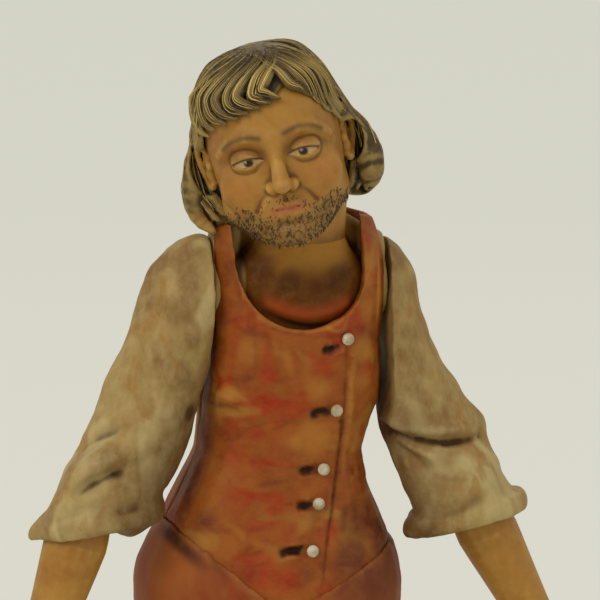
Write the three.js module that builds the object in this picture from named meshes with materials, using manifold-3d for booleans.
// A standing nativity scene figure: a villager in a buttoned waistcoat with rolled shirt sleeves.
// Cast pieces plug together on wire pins: the head turns in its collar, the arms swing at the
// shoulders and the forearms turn in their cuffs. Millimetres, +Z up, the figure faces -Y.
// "left" and "right" are the figure's own sides, so its right arm is on the -X side.
import * as THREE from "three";
import { mergeVertices } from "three/addons/utils/BufferGeometryUtils.js";
import Module from "manifold-3d";

const wasm = await Module();
wasm.setup();

// Fits
const clearance = 0.3; // gap between neighbouring castings
const pinRadius = 0.9; // wire pins at the neck, shoulders, elbows and legs
const pinSides = 10;
const roundSides = 20;

// Ground base
const baseLength = 48;
const baseDepth = 36;
const baseThickness = 6;
const baseFlare = 2.4; // how much wider the base is at the ground than at its top
const baseShift = -2; // centre of the base along Y, under the feet

// Stance
const bodyYaw = THREE.MathUtils.degToRad(13); // the body is turned towards its own left
const stanceHalf = 10.5; // ankle to the middle plane
const hipShare = 0.42; // hip joint from the middle plane, as a share of the hem's half width
const toeOut = THREE.MathUtils.degToRad(20);

// Shoes, stockings and knee bands, measured along the leg from the ground
const shoeLength = 16.5;
const shoeWidth = 7.4;
const shoeHeight = 7;
const soleThickness = 1.3;
const shoePocketFloor = 4.4;
const ankleRadius = 2.5;
const calfRadius = 3.9;
const kneeRadius = 3.3;
const kneeLine = 24; // lower edge of the breeches
const bandHeight = 2.2;
const bandWall = 1.1;
const stockingPlug = 5; // how far the stocking goes up into the breeches
const legPinFoot = 4.4; // leg pin's reach into the base
const legPinRise = 15; // leg pin's reach up the leg

// Breeches
const hipHeight = 61; // ground to the fullest part of the hips
const hipTuck = 0.4; // hips inside the hem's width on each side
const hipFront = 8.2;
const hipBack = 8.8;
const crotchDrop = 7; // crotch below the fullest part of the hips
const thighShare = 0.535; // thigh's radius as a share of the hem's half width
const breechesKneeRadius = 4.7;
const waistJoinRise = 11; // seat of the torso above the waistcoat's hem
const dowelRadius = 1.5;
const dowelReach = 7;

// Waistcoat and torso: each height is measured from the station below it
const waistcoatWall = 1.0;
const hipToHem = 4.5;
const hemToSkirt = 4.5;
const skirtToWaist = 9;
const waistToRib = 5;
const ribToChest = 6;
const chestToShoulder = 5;
const shoulderToStrap = 3.2;
const strapToTop = 2.4;
const hem = { shift: -0.4, lean: 1.2, halfWidth: 12.9, front: 8.7, back: 9.1 };
const skirt = { shift: -0.4, lean: 0.9, halfWidth: 11.8, front: 8.2, back: 8.4 };
const waist = { shift: 0.4, lean: 0.1, halfWidth: 8.3, front: 6.9, back: 6.5 };
const rib = { shift: 1.1, lean: -0.6, halfWidth: 8.8, front: 7.0, back: 6.7 };
const chest = { shift: 1.4, lean: -1.5, halfWidth: 8.2, front: 7.0, back: 6.9 };
const shoulder = { shift: 1.5, lean: -2.1, halfWidth: 8.2, front: 6.5, back: 6.7 };
const strap = { shift: 1.5, lean: -2.6, halfWidth: 8.2, front: 5.4, back: 5.6 };
const strapTop = { shift: 1.5, lean: -2.8, halfWidth: 7.9, front: 3.6, back: 3.9 };
const bodySquareness = 2.7; // 2 is an oval body, more is a squarer one
const hemPointDrop = 1.5; // point of the hem below the hem station
const hemPointShift = -0.6;
const hemRise = { right: 0.82, left: 0.52 }; // slope of the hem from its point up to each hip
const collarDrop = 0.8; // shirt top below the shoulder straps' lower station
const collarSlope = THREE.MathUtils.degToRad(32); // shirt's fall from the neck to the neckline
const collarInset = 0.6; // sides of the shirt's opening inside the neckline
const necklineShift = -0.4; // neckline to the side of the shoulders' middle
const necklineEase = 2.0; // open space between the neck and the neckline
const backNecklineRise = 5.2; // back neckline above the front one

// Buttons and buttonholes down the front edge
const buttonShares = [0, 0.34, 0.62, 0.78, 1]; // places down the edge, first to last
const buttonRadius = 0.72;
const buttonTopDrop = 0.9; // first button below the neckline
const buttonSpan = 20.6; // first button to last
const buttonLineTop = 3.6; // button line from the middle of the chest
const buttonLineBottom = 2.3; // and from the middle at the hem
const buttonholeLength = 2.2;
const buttonholeRadius = 0.34;

// Head and neck
const neckRadius = 4.2;
const neckTilt = THREE.MathUtils.degToRad(12);
const neckLength = 12.5;
const neckSeatDrop = 2.6; // neck seat below the shoulder station
const neckPinReach = 5;
const neckBaseRise = 5.4; // skin of the chest runs this far up round the neck
const neckBaseFlare = 1.9; // and is this much wider than the neck at the seat
const neckBaseWall = 0.6; // and this much wider at its top
const headForward = 4.2; // head centre in front of the neck seat
const headRise = 16.6; // head centre above the neck seat
const headShift = 3.0; // head centre to the right of the neck
const headRoll = THREE.MathUtils.degToRad(-13);
const headYaw = THREE.MathUtils.degToRad(-13);
const faceHalfWidth = 6.2;
const chinDepth = 9.4; // eye line to chin
const skullRise = 8.3; // eye line to crown
const faceFront = 7.3; // ear line to the face at eye height
const skullBack = 8.6;
const noseLength = 3.9;
const noseReach = 1.9;
const earHeight = 4.2;
const hairThickness = 1.1;
const hairFlare = 3.0; // hair outside the face at the ends of the locks
const hairDrop = 6.0; // ends of the hair below the eye line
const fringeRise = 4.7; // fringe above the eye line
const partingRise = 1.4; // notch in the fringe over the forehead
const faceOpeningEase = 1.0;

// Arms
const shoulderFaceEase = 0.3; // shoulder face outside the waistcoat's widest part
const shoulderBossRadius = 2.3; // shirt shoulder that stands out through the armhole
const armOut = { right: 1.3, left: -1.0 }; // arm axis outside the shoulder face
const shoulderPinInner = 2.4; // pin's reach into the torso
const shoulderPinOuter = 1.4; // and into the sleeve
const sleeveTop = 4.8;
const sleeveLength = 23.4; // shoulder pin to the end of the sleeve
const sleeveTrim = 4; // cast past the elbow, then cut level with the cuff
const sleeveTopRadius = 3.8;
const sleeveSag = 1.0; // sleeve hangs to the inside of the arm
const sleeveEndRadius = 5.6;
// cuff's edge, turned towards level from square to the forearm
const cuffTilt = { right: THREE.MathUtils.degToRad(29), left: THREE.MathUtils.degToRad(15) };
const cuffHeight = 2.1;
const cuffRadius = 6.5;
const forearmRadius = 3.2;
const wristRadius = 2.2;
const forearmPlug = 3.0; // forearm's reach up into the sleeve
const forearmLength = 16.5; // cuff top to wrist
const elbowPinReach = 4;
const palmLength = 6.2;
const palmHalfWidth = 2.3;
const fingerLength = 5.8;
const fingerRadius = 0.68;
const armSpread = { right: THREE.MathUtils.degToRad(28), left: THREE.MathUtils.degToRad(24.5) };
const elbowSpread = { right: THREE.MathUtils.degToRad(-9), left: THREE.MathUtils.degToRad(3) };
const armForward = THREE.MathUtils.degToRad(4);
const handTurn = THREE.MathUtils.degToRad(40);

// Finishes
function paint(color, roughness, metalness = 0) {
  return new THREE.MeshStandardMaterial({ color, roughness, metalness });
}
const skinPaint = paint(0xa87838, 0.6);
const hairPaint = paint(0x4a3c26, 0.6);
const waistcoatPaint = paint(0x8a4a1e, 0.65);
const shirtPaint = paint(0xa08a58, 0.75);
const breechesPaint = paint(0x7a4526, 0.7);
const stockingPaint = paint(0x9c8a62, 0.75);
const shoePaint = paint(0x38261a, 0.55);
const pearlPaint = paint(0xd6cdb8, 0.4);
const groundPaint = paint(0x6d6448, 0.85);
const pinSteel = paint(0x9a9a98, 0.35, 1);

// Geometry helpers

function ring(z, x, y, halfWidth, front, back = front) {
  return { z, x, y, halfWidth, front, back };
}

// Rings between the given ones, on smooth curves through them.
function smoothRings(rings, steps) {
  const through = (points) => new THREE.CatmullRomCurve3(points, false, "catmullrom");
  const centres = through(rings.map((r) => new THREE.Vector3(r.x, r.y, r.z)));
  const reaches = through(rings.map((r) => new THREE.Vector3(r.halfWidth, r.front, r.back)));
  const count = (rings.length - 1) * steps;
  return Array.from({ length: count + 1 }, (_, i) => {
    const c = centres.getPoint(i / count);
    const r = reaches.getPoint(i / count);
    return ring(c.z, c.x, c.y, r.x, r.y, r.z);
  });
}

// A closed body through a stack of oval rings, given from the lowest to the highest. The folds
// are waves round the oval, each { count, depth, phase, from, to } between two heights.
function loft(rings, { sides = roundSides, steps = 2, folds = [], square = 2 } = {}) {
  const round = (v) => Math.sign(v) * Math.abs(v) ** (2 / square);
  const stack = smoothRings(rings, steps);
  const points = [];
  for (const r of stack) {
    for (let i = 0; i < sides; i++) {
      const angle = (2 * Math.PI * i) / sides;
      let swell = 1;
      for (const f of folds) {
        const along = THREE.MathUtils.clamp((r.z - f.from) / (f.to - f.from), 0, 1);
        swell += f.depth * Math.sin(Math.PI * along) * Math.cos(f.count * angle + f.phase);
      }
      const reach = Math.sin(angle) < 0 ? r.front : r.back;
      const x = swell * r.halfWidth * round(Math.cos(angle));
      const y = swell * reach * round(Math.sin(angle));
      points.push(r.x + x, r.y + y, r.z);
    }
  }
  const last = stack.length - 1;
  points.push(stack[0].x, stack[0].y, stack[0].z, stack[last].x, stack[last].y, stack[last].z);
  const foot = stack.length * sides;
  const faces = [];
  for (let i = 0; i < sides; i++) {
    const j = (i + 1) % sides;
    for (let k = 0; k < last; k++) {
      const low = k * sides;
      const high = low + sides;
      faces.push(low + i, low + j, high + j, low + i, high + j, high + i);
    }
    faces.push(foot, j, i, foot + 1, last * sides + i, last * sides + j);
  }
  const made = new THREE.BufferGeometry();
  made.setAttribute("position", new THREE.Float32BufferAttribute(points, 3));
  made.setIndex(faces);
  return made;
}

// The smoothed ring of a loft at one height.
function ringAt(rings, z, steps) {
  const stack = smoothRings(rings, steps);
  const k = THREE.MathUtils.clamp(stack.findIndex((r) => r.z >= z), 1, stack.length - 1);
  const [a, b] = [stack[k - 1], stack[k]];
  const t = (z - a.z) / (b.z - a.z);
  const mix = (key) => THREE.MathUtils.lerp(a[key], b[key], t);
  return ring(z, mix("x"), mix("y"), mix("halfWidth"), mix("front"), mix("back"));
}

// A round rod between two points.
function rod(radius, start, end, sides = pinSides) {
  const along = new THREE.Vector3().subVectors(end, start);
  const made = new THREE.CylinderGeometry(radius, radius, along.length(), sides);
  const axis = along.clone().normalize();
  const turn = new THREE.Quaternion().setFromUnitVectors(new THREE.Vector3(0, 1, 0), axis);
  const middle = new THREE.Vector3().addVectors(start, end).multiplyScalar(0.5);
  return made.applyQuaternion(turn).translate(middle.x, middle.y, middle.z);
}

function ball(radii, centre, sides = 14) {
  return new THREE.SphereGeometry(1, sides, sides / 2).scale(...radii).translate(...centre);
}

function point(x, y, z) {
  return new THREE.Vector3(x, y, z);
}

function solidOf(geometry) {
  const bare = new THREE.BufferGeometry();
  bare.setAttribute("position", geometry.getAttribute("position"));
  bare.setIndex(geometry.index);
  const merged = mergeVertices(bare, 1e-4);
  const vertProperties = new Float32Array(merged.getAttribute("position").array);
  const triVerts = new Uint32Array(merged.index.array);
  return new wasm.Manifold(new wasm.Mesh({ numProp: 3, vertProperties, triVerts }));
}

function geometryOf(solid) {
  const mesh = solid.getMesh();
  const made = new THREE.BufferGeometry();
  made.setAttribute("position", new THREE.BufferAttribute(new Float32Array(mesh.vertProperties), 3));
  made.setIndex(new THREE.BufferAttribute(new Uint32Array(mesh.triVerts), 1));
  made.computeVertexNormals();
  return made;
}

function cut(body, ...tools) {
  return geometryOf(tools.reduce((solid, tool) => solid.subtract(solidOf(tool)), solidOf(body)));
}

function join(body, ...others) {
  return geometryOf(others.reduce((solid, other) => solid.add(solidOf(other)), solidOf(body)));
}

function common(body, other) {
  return geometryOf(solidOf(body).intersect(solidOf(other)));
}

const wide = 200; // larger than the figure: size of the cutting blocks

function blockAbove(z) {
  return new THREE.BoxGeometry(wide, wide, wide).translate(0, 0, z + wide / 2);
}

function blockBelow(z) {
  return new THREE.BoxGeometry(wide, wide, wide).translate(0, 0, z - wide / 2);
}

function placed(geometry, matrix) {
  return geometry.clone().applyMatrix4(matrix);
}

function piece(parent, name, geometry, material) {
  const mesh = new THREE.Mesh(geometry, material);
  mesh.name = name;
  parent.add(mesh);
  return mesh;
}

// Groups: the figure stands on the base; each limb and the head has its own turned group.
const model = new THREE.Group();
const figure = new THREE.Group();
figure.position.set(0, 0, baseThickness);
figure.rotation.z = bodyYaw;
model.add(figure);
const sides = [
  { name: "right", sign: -1 },
  { name: "left", sign: 1 },
];

// Widths of the hips and thighs, from the hem that they fill
const hipHalf = hipShare * hem.halfWidth;
const hipHalfWidth = hem.halfWidth - hipTuck;
const thighRadius = thighShare * hem.halfWidth;

// Heights of the body's stations above the ground
const hemHeight = hipHeight + hipToHem;
const skirtHeight = hemHeight + hemToSkirt;
const waistHeight = skirtHeight + skirtToWaist;
const ribHeight = waistHeight + waistToRib;
const chestHeight = ribHeight + ribToChest;
const shoulderHeight = chestHeight + chestToShoulder;
const strapHeight = shoulderHeight + shoulderToStrap;
const topHeight = strapHeight + strapToTop;
const waistJoin = hemHeight + waistJoinRise;
const bodyLoft = { sides: 24, steps: 2, square: bodySquareness };

// The body's outline, drawn in by an inset from the outside of the waistcoat.
function bodyRings(inset) {
  const stations = [
    [hemHeight, hem],
    [skirtHeight, skirt],
    [waistHeight, waist],
    [ribHeight, rib],
    [chestHeight, chest],
    [shoulderHeight, shoulder],
    [strapHeight, strap],
    [topHeight, strapTop],
  ];
  return stations.map(([z, s]) =>
    ring(z, s.shift, s.lean, s.halfWidth - inset, s.front - inset, s.back - inset),
  );
}

// Everything above the pointed hem, moved down by an ease.
function aboveHem(ease) {
  const outline = new THREE.Shape();
  const tip = hemHeight - hemPointDrop - ease;
  outline.moveTo(hemPointShift, tip);
  outline.lineTo(hemPointShift + wide, tip + hemRise.left * wide);
  outline.lineTo(hemPointShift + wide, tip + wide);
  outline.lineTo(hemPointShift - wide, tip + wide);
  outline.lineTo(hemPointShift - wide, tip + hemRise.right * wide);
  outline.closePath();
  const made = new THREE.ExtrudeGeometry(outline, { depth: wide, bevelEnabled: false });
  return made.rotateX(Math.PI / 2).translate(0, wide / 2, 0);
}

// Legs

function legFrame(side) {
  const foot = point(side.sign * stanceHalf, 0, 0);
  const hip = point(side.sign * hipHalf + hem.shift, 0, hipHeight);
  const turn = new THREE.Quaternion().setFromUnitVectors(point(0, 0, 1), hip.clone().sub(foot).normalize());
  const frame = new THREE.Group();
  frame.position.copy(foot);
  frame.quaternion.copy(turn);
  frame.updateMatrix();
  return frame;
}

const legs = sides.map((side) => ({ side, frame: legFrame(side) }));
const legPin = rod(pinRadius, point(0, 0, -legPinFoot), point(0, 0, legPinRise));
const legPinHole = rod(
  pinRadius + clearance,
  point(0, 0, -legPinFoot - clearance),
  point(0, 0, legPinRise + clearance),
);
const bandTop = kneeLine - clearance;
const bandFoot = bandTop - bandHeight;

function stockingShape() {
  const body = loft(
    [
      ring(shoePocketFloor + clearance, 0, 0, ankleRadius, ankleRadius),
      ring(shoeHeight + clearance, 0, 0, ankleRadius, ankleRadius),
      ring(14.5, 0, 0.4, calfRadius, calfRadius * 0.95, calfRadius * 1.08),
      ring(bandFoot - 2 * clearance, 0, 0, kneeRadius, kneeRadius),
      ring(kneeLine, 0, 0, kneeRadius, kneeRadius),
      ring(kneeLine + stockingPlug, 0, 0, kneeRadius, kneeRadius),
    ],
    { sides: 16 },
  );
  return cut(body, legPinHole);
}

function shoeShape(side, frame) {
  const half = shoeWidth / 2;
  const reach = shoeLength / 2;
  const forward = -0.2 * shoeLength; // middle of the sole in front of the ankle
  const rings = [
    ring(clearance, 0, forward, half * 0.9, reach * 0.97),
    ring(soleThickness, 0, forward, half, reach),
    ring(shoeHeight * 0.5, 0, forward * 0.75, half * 0.92, reach * 0.82, reach * 0.84),
    ring(shoeHeight * 0.78, 0, forward * 0.25, half * 0.94, reach * 0.55, reach * 0.6),
    ring(shoeHeight, 0, 0.2, ankleRadius + 1.1, ankleRadius + 1.2),
  ];
  // The upper leans with the leg, so that the pocket keeps an even wall.
  const lean = point(0, 0, 1).applyQuaternion(frame.quaternion).applyAxisAngle(point(0, 0, 1), -side.sign * toeOut);
  for (const upper of rings.slice(2)) {
    upper.x += (upper.z * lean.x) / lean.z;
    upper.y += (upper.z * lean.y) / lean.z;
  }
  const body = loft(rings, { sides: 18 });
  body.rotateZ(side.sign * toeOut).translate(frame.position.x, frame.position.y, 0);
  const pocket = rod(
    ankleRadius + clearance,
    point(0, 0, shoePocketFloor),
    point(0, 0, shoeHeight * 2),
    roundSides,
  );
  return cut(body, placed(pocket, frame.matrix), placed(legPinHole, frame.matrix));
}

function kneeBandShape() {
  const outer = kneeRadius + clearance + bandWall;
  const body = loft(
    [
      ring(bandFoot, 0, 0, outer - 0.25, outer - 0.25),
      ring(bandFoot + 0.3 * bandHeight, 0, 0, outer, outer),
      ring(bandFoot + 0.7 * bandHeight, 0, 0, outer, outer),
      ring(bandTop, 0, 0, outer - 0.25, outer - 0.25),
    ],
    { sides: 16, steps: 1 },
  );
  return cut(body, rod(kneeRadius + clearance, point(0, 0, bandFoot - 1), point(0, 0, bandTop + 1), 16));
}

for (const { side, frame } of legs) {
  piece(figure, `${side.name}_shoe`, shoeShape(side, frame), shoePaint);
  const leg = new THREE.Group();
  leg.position.copy(frame.position);
  leg.quaternion.copy(frame.quaternion);
  figure.add(leg);
  piece(leg, `${side.name}_stocking`, stockingShape(), stockingPaint);
  piece(leg, `${side.name}_knee_band`, kneeBandShape(), breechesPaint);
  piece(leg, `${side.name}_leg_pin`, legPin.clone(), pinSteel);
}

// Base

function baseShape() {
  const half = baseLength / 2;
  const reach = baseDepth / 2;
  const body = loft(
    [
      ring(0, 0, baseShift, half, reach),
      ring(0.35 * baseThickness, 0, baseShift, half - 0.2 * baseFlare, reach - 0.2 * baseFlare),
      ring(0.8 * baseThickness, 0, baseShift, half - 0.7 * baseFlare, reach - 0.7 * baseFlare),
      ring(baseThickness, 0, baseShift, half - baseFlare, reach - baseFlare),
    ],
    {
      sides: 32,
      folds: [
        { count: 5, depth: 0.03, phase: 1.1, from: -baseThickness, to: 2 * baseThickness },
        { count: 9, depth: 0.018, phase: 0.4, from: -baseThickness, to: 2 * baseThickness },
      ],
    },
  );
  figure.updateMatrix();
  const holes = legs.map(({ frame }) =>
    placed(legPinHole, new THREE.Matrix4().multiplyMatrices(figure.matrix, frame.matrix)),
  );
  return cut(body, ...holes);
}

piece(model, "ground_base", baseShape(), groundPaint);

// Breeches and torso

const outerRings = bodyRings(0);
const coreInset = waistcoatWall + clearance;
const bodyCore = loft(bodyRings(coreInset), bodyLoft);
const dowelFoot = point(waist.shift, waist.lean, waistJoin - dowelReach);
const dowelHead = point(waist.shift, waist.lean, waistJoin + dowelReach);
const dowelHole = rod(
  dowelRadius + clearance,
  dowelFoot.clone().setZ(waistJoin - dowelReach - clearance),
  dowelHead.clone().setZ(waistJoin + dowelReach + clearance),
);

function thighShape() {
  return loft(
    [
      ring(kneeLine, 0, 0, breechesKneeRadius, breechesKneeRadius),
      ring(kneeLine + 2.5, 0, 0, breechesKneeRadius + 0.6, breechesKneeRadius + 0.6),
      ring(kneeLine + 13, 0, 0.2, thighRadius - 0.9, thighRadius - 0.8),
      ring(hipHeight - crotchDrop - 2, 0, 0.6, thighRadius - 0.2, thighRadius + 0.3, thighRadius + 0.8),
      ring(hipHeight - 1, 0, 1, thighRadius + 0.2, thighRadius + 0.8, thighRadius + 1.2),
      ring(hipHeight + 2.5, 0, 1.1, thighRadius - 0.6, thighRadius + 0.2, thighRadius + 0.6),
    ],
    { sides: 18, folds: [{ count: 5, depth: 0.05, phase: 0.7, from: kneeLine, to: kneeLine + 14 }] },
  );
}

function breechesShape() {
  const hipRing = (drop, width, depth) =>
    ring(hipHeight - drop, hem.shift, hem.lean, hipHalfWidth - width, hipFront - depth, hipBack - depth);
  const hips = loft(
    [
      hipRing(crotchDrop, 7, 3.6),
      hipRing(0.5 * crotchDrop, 2.4, 1.2),
      hipRing(0, 0, 0),
      ...outerRings.slice(0, 3),
    ],
    bodyLoft,
  );
  const cloth = cut(hips, aboveHem(clearance));
  const seat = common(bodyCore, blockBelow(waistJoin - clearance));
  const thighs = legs.map(({ frame }) => placed(thighShape(), frame.matrix));
  const socketTop = point(0, 0, kneeLine + stockingPlug + clearance);
  const socket = rod(kneeRadius + clearance, point(0, 0, kneeLine - 1), socketTop, 16);
  const sockets = legs.map(({ frame }) => placed(socket, frame.matrix));
  return cut(join(cloth, seat, ...thighs), dowelHole, ...sockets);
}

piece(figure, "breeches", breechesShape(), breechesPaint);
piece(figure, "hip_dowel", rod(dowelRadius, dowelFoot, dowelHead), pinSteel);

// Neck seat and shoulder pins in the torso
const shoulderHalf = Math.max(shoulder.halfWidth, chest.halfWidth, strap.halfWidth) + shoulderFaceEase;
const necklineRadius = neckRadius + necklineEase;
const necklineHeight = strapHeight - shoulderToStrap * 0.2;
const necklineFoot = necklineHeight - necklineRadius;
const neckSeat = point(shoulder.shift, shoulder.lean - 0.4, shoulderHeight - neckSeatDrop);
const neckAxis = point(0, -Math.sin(neckTilt), Math.cos(neckTilt));

function alongNeck(distance) {
  return neckSeat.clone().addScaledVector(neckAxis, distance);
}

const neckPin = rod(pinRadius, alongNeck(-neckPinReach), alongNeck(neckPinReach));
const neckPinHole = rod(
  pinRadius + clearance,
  alongNeck(-neckPinReach - clearance),
  alongNeck(neckPinReach + clearance),
);

function shoulderPoint(side, outside) {
  return point(shoulder.shift + side.sign * (shoulderHalf + outside), shoulder.lean, shoulderHeight);
}

function shoulderPin(side, ease) {
  return rod(
    pinRadius + ease,
    shoulderPoint(side, -shoulderPinInner - ease),
    shoulderPoint(side, clearance + shoulderPinOuter + ease),
  );
}

// The chest's skin round the neck, down to the neckline.
function neckBaseShape() {
  const bare = neckRadius + neckBaseWall;
  const level = (share, flare, front) => {
    const c = alongNeck(share * neckBaseRise);
    return ring(c.z, c.x, c.y, bare + flare * neckBaseFlare, bare + front * flare, bare + flare);
  };
  return loft([level(0, 1, 0), level(0.3, 0.75, 0.2), level(0.65, 0.3, 0.2), level(1, 0, 0)]);
}

// The round shirt shoulder, drawn out by an ease to give the waistcoat's armhole.
function shoulderBoss(side, ease) {
  const inner = shoulderPoint(side, -shoulderPinInner);
  return rod(shoulderBossRadius + ease, inner, shoulderPoint(side, 3 * ease), roundSides);
}

function torsoShape() {
  const top = strapHeight - collarDrop;
  const bosses = sides.map((side) => shoulderBoss(side, 0));
  const open = 2 * (necklineRadius - collarInset);
  const slope = new THREE.BoxGeometry(open, wide, wide).translate(0, 0, wide / 2);
  slope.rotateX(collarSlope).translate(shoulder.shift + necklineShift, neckSeat.y, neckSeat.z + 1);
  const shirt = cut(bodyCore, blockBelow(waistJoin), blockAbove(top), slope);
  const body = join(shirt, neckBaseShape(), ...bosses);
  const neckPocket = rod(neckRadius + clearance, alongNeck(0), alongNeck(neckLength), roundSides);
  const pins = sides.map((side) => shoulderPin(side, clearance));
  return cut(body, dowelHole, neckPocket, neckPinHole, ...pins);
}

piece(figure, "torso", torsoShape(), shirtPaint);
piece(figure, "neck_pin", neckPin, pinSteel);

// Waistcoat: a front and a back shell that close round the torso at the sides and straps

function necklineCutter(rise) {
  const outline = new THREE.Shape();
  const height = necklineHeight + rise;
  outline.moveTo(-necklineRadius, topHeight + wide / 2);
  outline.lineTo(-necklineRadius, height);
  outline.absarc(0, height, necklineRadius, Math.PI, 2 * Math.PI, false);
  outline.lineTo(necklineRadius, topHeight + wide / 2);
  outline.closePath();
  const made = new THREE.ExtrudeGeometry(outline, { depth: wide, bevelEnabled: false, curveSegments: 18 });
  return made.rotateX(Math.PI / 2).translate(shoulder.shift + necklineShift, wide / 2, 0);
}

// The body's outline carried on down past the point of the hem.
function belowHem(rings) {
  const [first] = rings;
  return [{ ...first, z: first.z - hemToSkirt }];
}

// The side seams lie in one plane that leans with the body.
function seamBlock(front) {
  const lean = Math.atan2(hem.lean - strapTop.lean, topHeight - hemHeight);
  const offset = wide / 2 + clearance / 2;
  const made = new THREE.BoxGeometry(wide, wide, wide).translate(0, front ? -offset : offset, 0);
  return made.rotateX(lean).translate(0, (hem.lean + strapTop.lean) / 2, (hemHeight + topHeight) / 2);
}

const innerRings = bodyRings(waistcoatWall);
const waistcoatHollow = loft([...belowHem(innerRings), ...innerRings], bodyLoft);
const waistcoatBody = cut(
  common(loft([...belowHem(outerRings), ...outerRings], bodyLoft), aboveHem(0)),
  waistcoatHollow,
  ...sides.map((side) => shoulderBoss(side, clearance)),
);

function buttonSpot(index) {
  const share = buttonShares[index];
  const z = necklineFoot - buttonTopDrop - share * buttonSpan;
  const r = ringAt(outerRings, z, bodyLoft.steps);
  const offset = THREE.MathUtils.lerp(buttonLineTop, buttonLineBottom, share);
  const across = offset / r.halfWidth;
  const forward = (1 - across ** bodySquareness) ** (1 / bodySquareness);
  const slope = bodySquareness - 1;
  const facing = point(across ** slope / r.halfWidth, -(forward ** slope) / r.front, 0).normalize();
  return { at: point(r.x + offset, r.y - r.front * forward, z), facing };
}

function buttonhole(index) {
  const { at, facing } = buttonSpot(index);
  const across = point(-facing.y, facing.x, 0);
  const start = at.clone().addScaledVector(across, -buttonRadius - clearance);
  return rod(buttonholeRadius, start, start.clone().addScaledVector(across, -buttonholeLength), 8);
}

const buttonIndexes = buttonShares.map((_, i) => i);
const frontShell = cut(
  common(waistcoatBody, seamBlock(true)),
  necklineCutter(0),
  ...buttonIndexes.map(buttonhole),
);
const backShell = cut(common(waistcoatBody, seamBlock(false)), necklineCutter(backNecklineRise));
piece(figure, "waistcoat_front", frontShell, waistcoatPaint);
piece(figure, "waistcoat_back", backShell, waistcoatPaint);

function buttonShape() {
  const profile = [
    [0, 0],
    [0.8, 0],
    [1, 0.3],
    [0.8, 0.75],
    [0.4, 0.98],
    [0, 1.05],
  ].map(([r, z]) => new THREE.Vector2(r * buttonRadius, z * buttonRadius));
  return new THREE.LatheGeometry(profile, 10);
}

for (const index of buttonIndexes) {
  const { at, facing } = buttonSpot(index);
  const button = piece(figure, `button_${index + 1}`, geometryOf(solidOf(buttonShape())), pearlPaint);
  button.position.copy(at).addScaledVector(facing, clearance);
  button.quaternion.setFromUnitVectors(point(0, 1, 0), facing);
}

// Arms

// A tapering, slightly hooked finger from its root.
function fingerShape(root, lean, curl, length, radius) {
  const rings = [1, 0.66, 0.33, 0].map((t) => {
    const thickness = radius * (1 - 0.35 * t);
    return ring(root.z - t * length, root.x + lean * t, root.y - curl * t * t, thickness, thickness);
  });
  const top = rings[rings.length - 1];
  return loft([...rings, { ...top, z: root.z + 1.2 }], { sides: 6, steps: 1 });
}

function handShape(side, wristZ) {
  const knuckles = wristZ - palmLength;
  const palm = loft(
    [
      ring(knuckles, 0, 0, palmHalfWidth * 0.94, 0.85),
      ring(knuckles + 0.2 * palmLength, 0, 0, palmHalfWidth, 1.15),
      ring(wristZ - 0.35 * palmLength, 0, 0, palmHalfWidth * 0.95, 1.35),
      ring(wristZ, 0, 0, wristRadius * 0.98, wristRadius * 0.8),
      ring(wristZ + 2, 0, 0, wristRadius, wristRadius * 0.86),
    ],
    { sides: 12 },
  );
  const lengths = [0.88, 1, 0.95, 0.78];
  const spacing = (2 * (palmHalfWidth - fingerRadius)) / 3;
  const fingers = lengths.map((share, i) => {
    const x = side.sign * ((1.5 - i) * spacing);
    return fingerShape(point(x, 0, knuckles), 0.35 * x, 1.5, share * fingerLength, fingerRadius);
  });
  const thumbRoot = point(side.sign * palmHalfWidth * 0.75, -0.2, wristZ - 0.35 * palmLength);
  const thumb = fingerShape(thumbRoot, side.sign * 1.7, 1.2, 0.8 * fingerLength, fingerRadius * 1.15);
  return join(palm, ...fingers, thumb).rotateZ(side.sign * -handTurn);
}

function forearmShape(side) {
  const wristZ = -forearmLength;
  const middleRadius = 0.5 * (wristRadius + forearmRadius);
  const body = loft(
    [
      ring(wristZ - 1, 0, 0, wristRadius * 0.95, wristRadius * 0.8),
      ring(wristZ + 0.15 * forearmLength, 0, 0, wristRadius, wristRadius * 0.92),
      ring(wristZ + 0.5 * forearmLength, 0, 0, middleRadius, middleRadius),
      ring(-cuffHeight - 2 * clearance, 0, 0, forearmRadius, forearmRadius),
      ring(forearmPlug / 2, 0, 0, forearmRadius, forearmRadius),
      ring(forearmPlug, 0, 0, forearmRadius, forearmRadius),
    ],
    { sides: 16 },
  );
  return cut(join(body, handShape(side, wristZ)), elbowPin(clearance));
}

// The elbow pin stands in the forearm's axis and reaches up into the sleeve.
function elbowPin(ease) {
  return rod(
    pinRadius + ease,
    point(0, 0, forearmPlug - elbowPinReach - ease),
    point(0, 0, forearmPlug + clearance + elbowPinReach + ease),
  );
}

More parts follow.
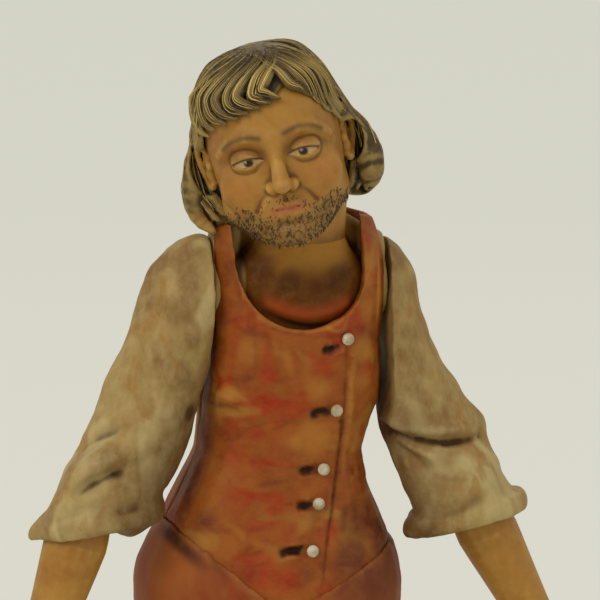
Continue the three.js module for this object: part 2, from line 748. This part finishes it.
function sleeveShape(toArm, toElbow, side) {
  const end = -sleeveLength;
  const side0 = sleeveTopRadius;
  const inward = -side.sign * sleeveSag;
  const body = loft(
    [
      ring(end - sleeveTrim, inward, 0, sleeveEndRadius - 0.6, sleeveEndRadius * 0.9),
      ring(end + 2.2, inward, 0, sleeveEndRadius - 0.3, sleeveEndRadius * 0.92),
      ring(0.72 * end, 1.3 * inward, 0, 0.5 * (side0 + sleeveEndRadius), 0.5 * (side0 + sleeveEndRadius)),
      ring(0.42 * end, inward, 0, side0 + 0.3, side0 + 0.5),
      ring(0, 0, 0, side0, side0 + 0.4),
      ring(0.7 * sleeveTop, 0, 0, 0.9 * side0, 0.9 * side0),
      ring(sleeveTop, 0, 0, 0.56 * side0, 0.56 * side0),
    ],
    {
      folds: [
        { count: 3, depth: 0.05, phase: side.sign * 1.3, from: end + 1, to: 0.4 * end },
        { count: 5, depth: 0.03, phase: side.sign * 2.2, from: end + 0.5, to: 0.65 * end },
      ],
    },
  );
  const faceBlock = new THREE.BoxGeometry(wide, wide, wide);
  const face = shoulderPoint(side, clearance - wide / 2);
  faceBlock.translate(face.x, face.y, face.z);
  const socket = rod(
    forearmRadius + clearance,
    point(0, 0, -sleeveEndRadius),
    point(0, 0, forearmPlug + clearance),
    roundSides,
  );
  return cut(
    body,
    placed(faceBlock, toArm),
    placed(shoulderPin(side, clearance), toArm),
    placed(blockBelow(0).rotateY(side.sign * cuffTilt[side.name]), toElbow),
    placed(socket, toElbow),
    placed(elbowPin(clearance), toElbow),
  );
}

function cuffShape(side) {
  const top = -clearance;
  const foot = top - cuffHeight;
  const inward = -side.sign * sleeveSag;
  const depth = 0.86 * cuffRadius;
  const body = loft(
    [
      ring(foot, inward, 0, cuffRadius - 0.4, depth - 0.4),
      ring(foot + 0.3 * cuffHeight, inward, 0, cuffRadius, depth),
      ring(foot + 0.75 * cuffHeight, inward, 0, cuffRadius, depth),
      ring(top, inward, 0, cuffRadius - 0.3, depth - 0.3),
    ],
    { steps: 1 },
  );
  const bore = rod(forearmRadius + clearance, point(0, 0, -wide / 2), point(0, 0, wide / 2), roundSides);
  return cut(body.rotateY(side.sign * cuffTilt[side.name]), bore);
}

for (const side of sides) {
  const arm = new THREE.Group();
  arm.position.copy(shoulderPoint(side, armOut[side.name]));
  arm.rotation.set(-armForward, -side.sign * armSpread[side.name], 0);
  figure.add(arm);
  const elbow = new THREE.Group();
  elbow.position.set(0, 0, -sleeveLength);
  elbow.rotation.y = -side.sign * elbowSpread[side.name];
  arm.add(elbow);
  arm.updateMatrix();
  elbow.updateMatrix();
  const toArm = arm.matrix.clone().invert();
  piece(arm, `${side.name}_sleeve`, sleeveShape(toArm, elbow.matrix, side), shirtPaint);
  piece(elbow, `${side.name}_cuff`, cuffShape(side), shirtPaint);
  piece(elbow, `${side.name}_forearm`, forearmShape(side), skinPaint);
  piece(elbow, `${side.name}_elbow_pin`, elbowPin(0), pinSteel);
  piece(figure, `${side.name}_shoulder_pin`, shoulderPin(side, 0), pinSteel);
}

// Head and hair

const head = new THREE.Group();
head.position.copy(neckSeat).add(point(-headShift, -headForward, headRise));
head.rotation.set(0, headRoll, headYaw, "YXZ");
figure.add(head);
head.updateMatrix();
const toHead = head.matrix.clone().invert();

function skullShape(ease) {
  const w = faceHalfWidth + ease;
  const f = faceFront + ease;
  const b = skullBack + ease;
  return loft(
    [
      ring(-chinDepth - ease, 0, -5.2, 0.26 * w, 0.27 * f, 0.22 * b),
      ring(-0.93 * chinDepth, 0, -4.6, 0.47 * w, 0.41 * f, 0.4 * b),
      ring(-0.74 * chinDepth, 0, -2.6, 0.72 * w, 0.69 * f, 0.7 * b),
      ring(-0.46 * chinDepth, 0, -0.8, 0.88 * w, 0.92 * f, 0.85 * b),
      ring(-0.15 * chinDepth, 0, 0, 0.97 * w, f, 0.93 * b),
      ring(0.25 * skullRise, 0, 0, 1.04 * w, 1.03 * f, 1.02 * b),
      ring(0.55 * skullRise, 0, 0, 1.05 * w, 0.95 * f, b),
      ring(0.81 * skullRise, 0, 0.2, 0.84 * w, 0.74 * f, 0.8 * b),
      ring(0.96 * skullRise, 0, 0.4, 0.46 * w, 0.42 * f, 0.46 * b),
      ring(skullRise + ease, 0, 0.4, 0.12 * w, 0.12 * f, 0.12 * b),
    ],
    { sides: 20 },
  );
}

function neckShape(ease) {
  const start = ease ? alongNeck(0) : alongNeck(clearance);
  return placed(rod(neckRadius + ease, start, alongNeck(neckLength), roundSides), toHead);
}

function noseShape() {
  const f = faceFront;
  return loft(
    [
      ring(-noseLength, 0, -f + 0.9, 1.45, noseReach * 0.72, 1.2),
      ring(-0.82 * noseLength, 0, -f + 0.5, 1.5, noseReach, 1.2),
      ring(-0.4 * noseLength, 0, -f + 0.3, 0.9, noseReach * 0.72, 1),
      ring(0.25 * noseLength, 0, -f + 0.3, 0.7, 0.7, 1),
    ],
    { sides: 12 },
  );
}

function earShape(sign, ease) {
  const ear = ball([0.75 + ease, 1.5 + ease, earHeight / 2 + ease], [0, 0, 0], 12);
  return ear.rotateZ(sign * 0.35).translate(sign * (faceHalfWidth + 0.15), 0.3, -0.14 * earHeight);
}

function headShape() {
  const f = faceFront;
  const eye = (sign) => ball([1.7, 0.9, 1.0], [sign * 2.75, -f + 0.15, 0.1], 12);
  const eyeball = (sign) => ball([1.25, 1.1, 0.95], [sign * 2.7, -f + 1.3, 0], 12);
  const mouth = ball([2.1, 0.9, 0.75], [0, -f + 0.75, -0.63 * chinDepth], 12);
  const sockets = cut(skullShape(0), eye(-1), eye(1));
  const face = join(sockets, eyeball(-1), eyeball(1), noseShape(), mouth);
  const whole = join(face, neckShape(0), earShape(-1, 0), earShape(1, 0));
  return cut(whole, placed(neckPinHole, toHead));
}

// The opening in the hair for the face: an arch with a notch where the fringe parts.
function faceOpening() {
  const half = faceHalfWidth + faceOpeningEase;
  const outline = new THREE.Shape();
  outline.moveTo(-half, -wide / 2);
  outline.lineTo(-half, -0.3 * chinDepth);
  outline.quadraticCurveTo(-half, 0.45 * fringeRise, -0.62 * half, 0.72 * fringeRise);
  outline.quadraticCurveTo(-0.2 * half, fringeRise, 0.05 * half, 0.94 * fringeRise);
  outline.lineTo(0.16 * half, fringeRise + partingRise);
  outline.lineTo(0.3 * half, 0.92 * fringeRise);
  outline.quadraticCurveTo(half, 0.6 * fringeRise, half, -0.3 * chinDepth);
  outline.lineTo(half, -wide / 2);
  outline.closePath();
  const made = new THREE.ExtrudeGeometry(outline, { depth: wide, bevelEnabled: false, curveSegments: 8 });
  return made.rotateX(Math.PI / 2).translate(0, 1.6, 0);
}

function hairShape() {
  const w = faceHalfWidth + clearance;
  const f = faceFront + clearance + hairThickness;
  const b = skullBack + clearance + hairThickness;
  const body = loft(
    [
      ring(-hairDrop, 0, 0.2, w + 0.8 * hairFlare, 0.62 * f, 0.88 * b),
      ring(-0.86 * hairDrop, 0, 0.2, w + 0.95 * hairFlare, 0.66 * f, 0.94 * b),
      ring(-0.45 * hairDrop, 0, 0.2, w + hairFlare, 0.74 * f, b),
      ring(0.05 * skullRise, 0, 0.2, w + 0.62 * hairFlare, 0.82 * f, 1.01 * b),
      ring(0.36 * skullRise, 0, 0.1, w + 0.5 * hairThickness, 0.97 * f, 1.02 * b),
      ring(0.68 * skullRise, 0, 0.2, w + 0.3 * hairThickness, 0.9 * f, 0.95 * b),
      ring(0.92 * skullRise, 0, 0.3, 0.86 * w, 0.7 * f, 0.72 * b),
      ring(skullRise + 0.7 * hairThickness, 0, 0.4, 0.5 * w, 0.42 * f, 0.44 * b),
      ring(skullRise + clearance + hairThickness, 0, 0.4, 0.12 * w, 0.12 * f, 0.12 * b),
    ],
    {
      sides: 32,
      folds: [
        { count: 12, depth: 0.022, phase: 0.5, from: -1.5 * hairDrop, to: skullRise },
        { count: 7, depth: 0.02, phase: 1.9, from: -2.5 * hairDrop, to: 0.6 * skullRise },
      ],
    },
  );
  const ears = [earShape(-1, clearance), earShape(1, clearance)];
  return cut(body, skullShape(clearance), neckShape(clearance), faceOpening(), ...ears);
}

piece(head, "head", headShape(), skinPaint);
piece(head, "hair", hairShape(), hairPaint);

export default model;
